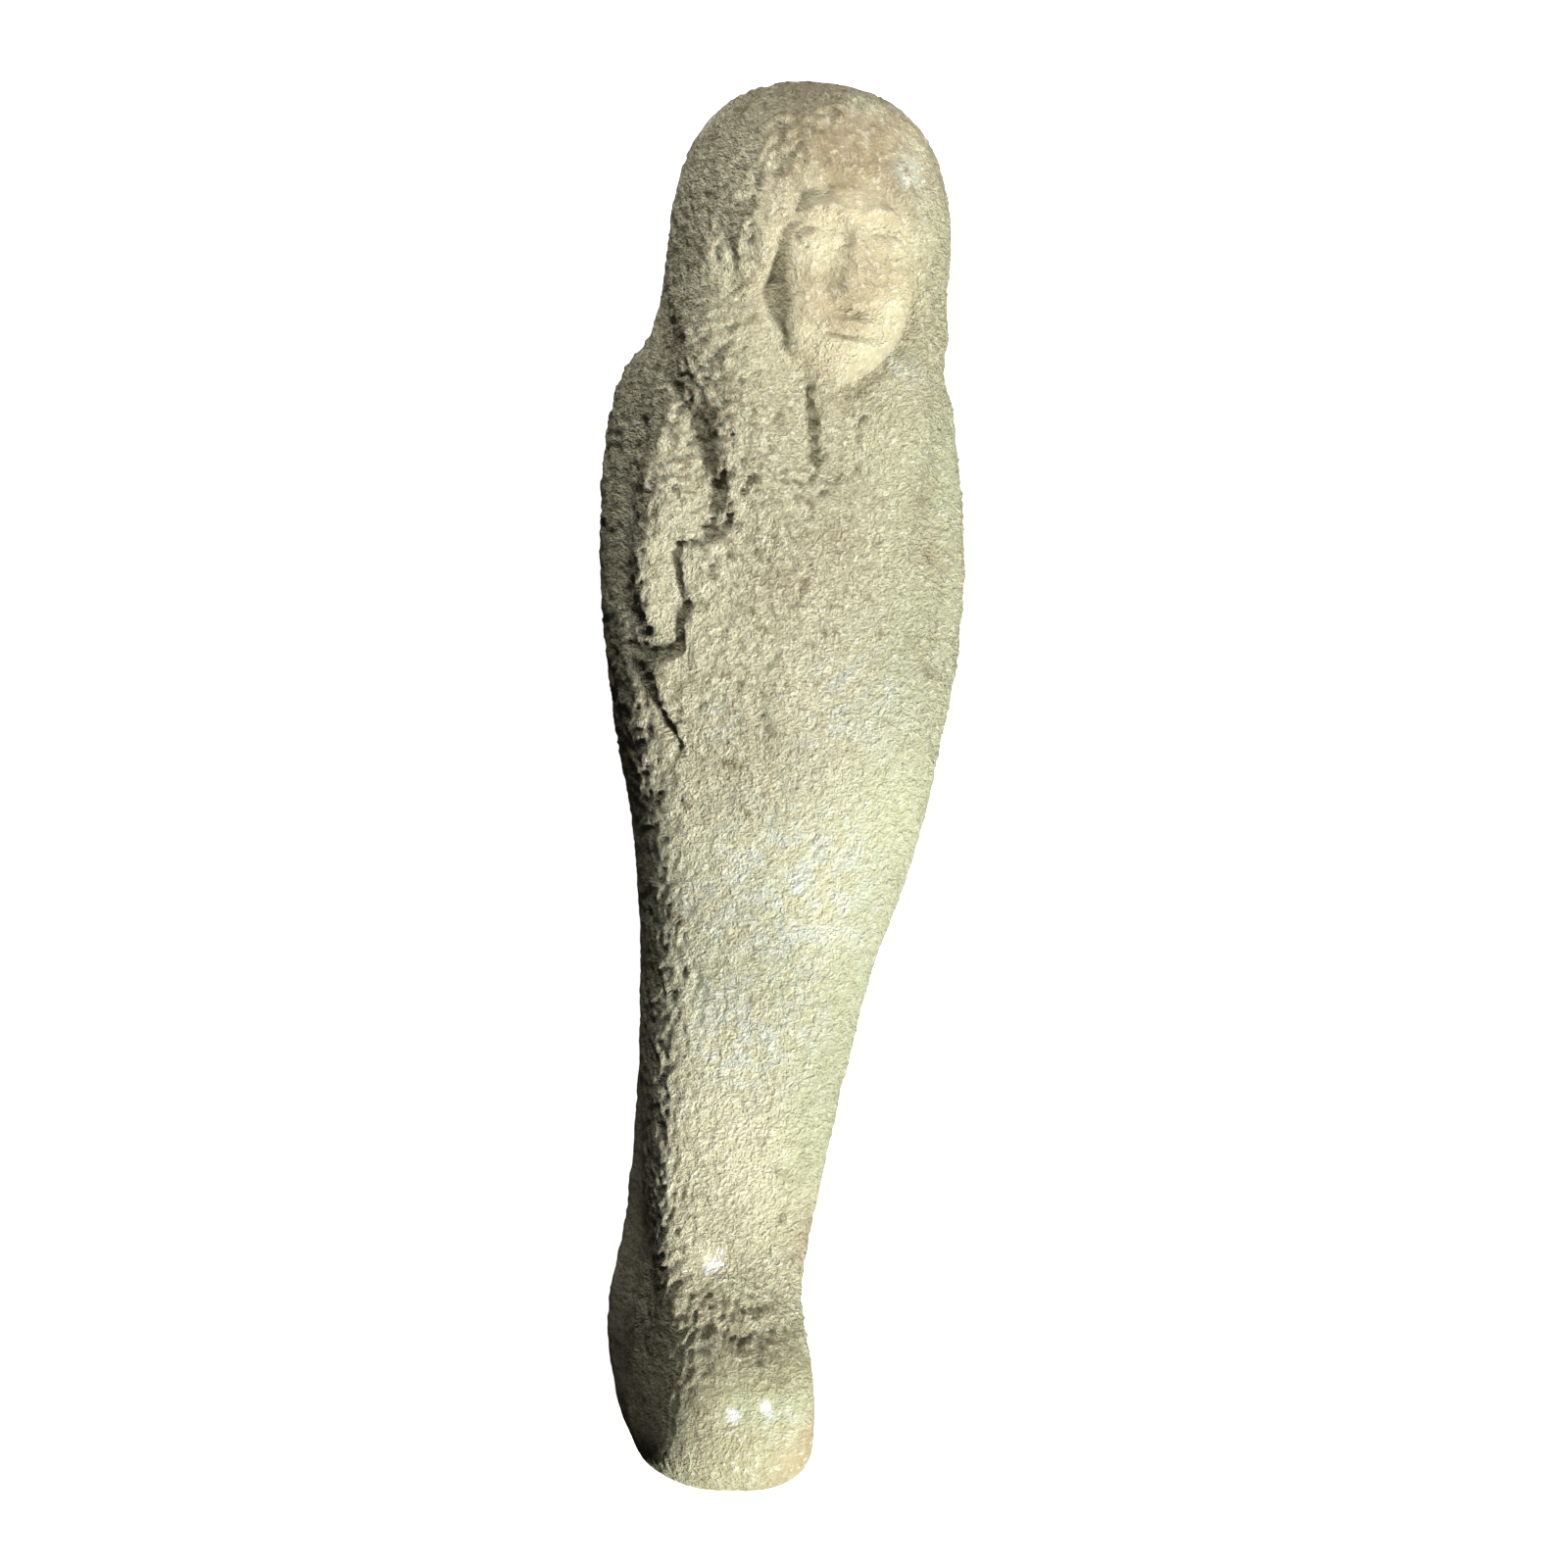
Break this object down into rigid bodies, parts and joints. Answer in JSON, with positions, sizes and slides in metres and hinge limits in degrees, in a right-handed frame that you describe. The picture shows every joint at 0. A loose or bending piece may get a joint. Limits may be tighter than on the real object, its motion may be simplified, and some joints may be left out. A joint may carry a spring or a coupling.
{
  "type": "ushabti figurine",
  "caption": "Worn mummy-shaped funerary figurine of moulded faience with wig, false beard, folded arms, feet and a back pillar, lying face up.",
  "frame": {"origin": "middle of the figurine's outline, on the surface that its back pillar lies on", "axes": "+Y from the feet to the crown, +Z out of the chest, +X to the figure's own left"},
  "size_m": [0.0326, 0.12, 0.0226],
  "materials": {
    "faience": "worn pale green and cream faience with brown stains, matt with a few patches of old glaze"
  },
  "bodies": {
    "root": {"ushabti_figure": "faience"}
  },
  "joints": []
}
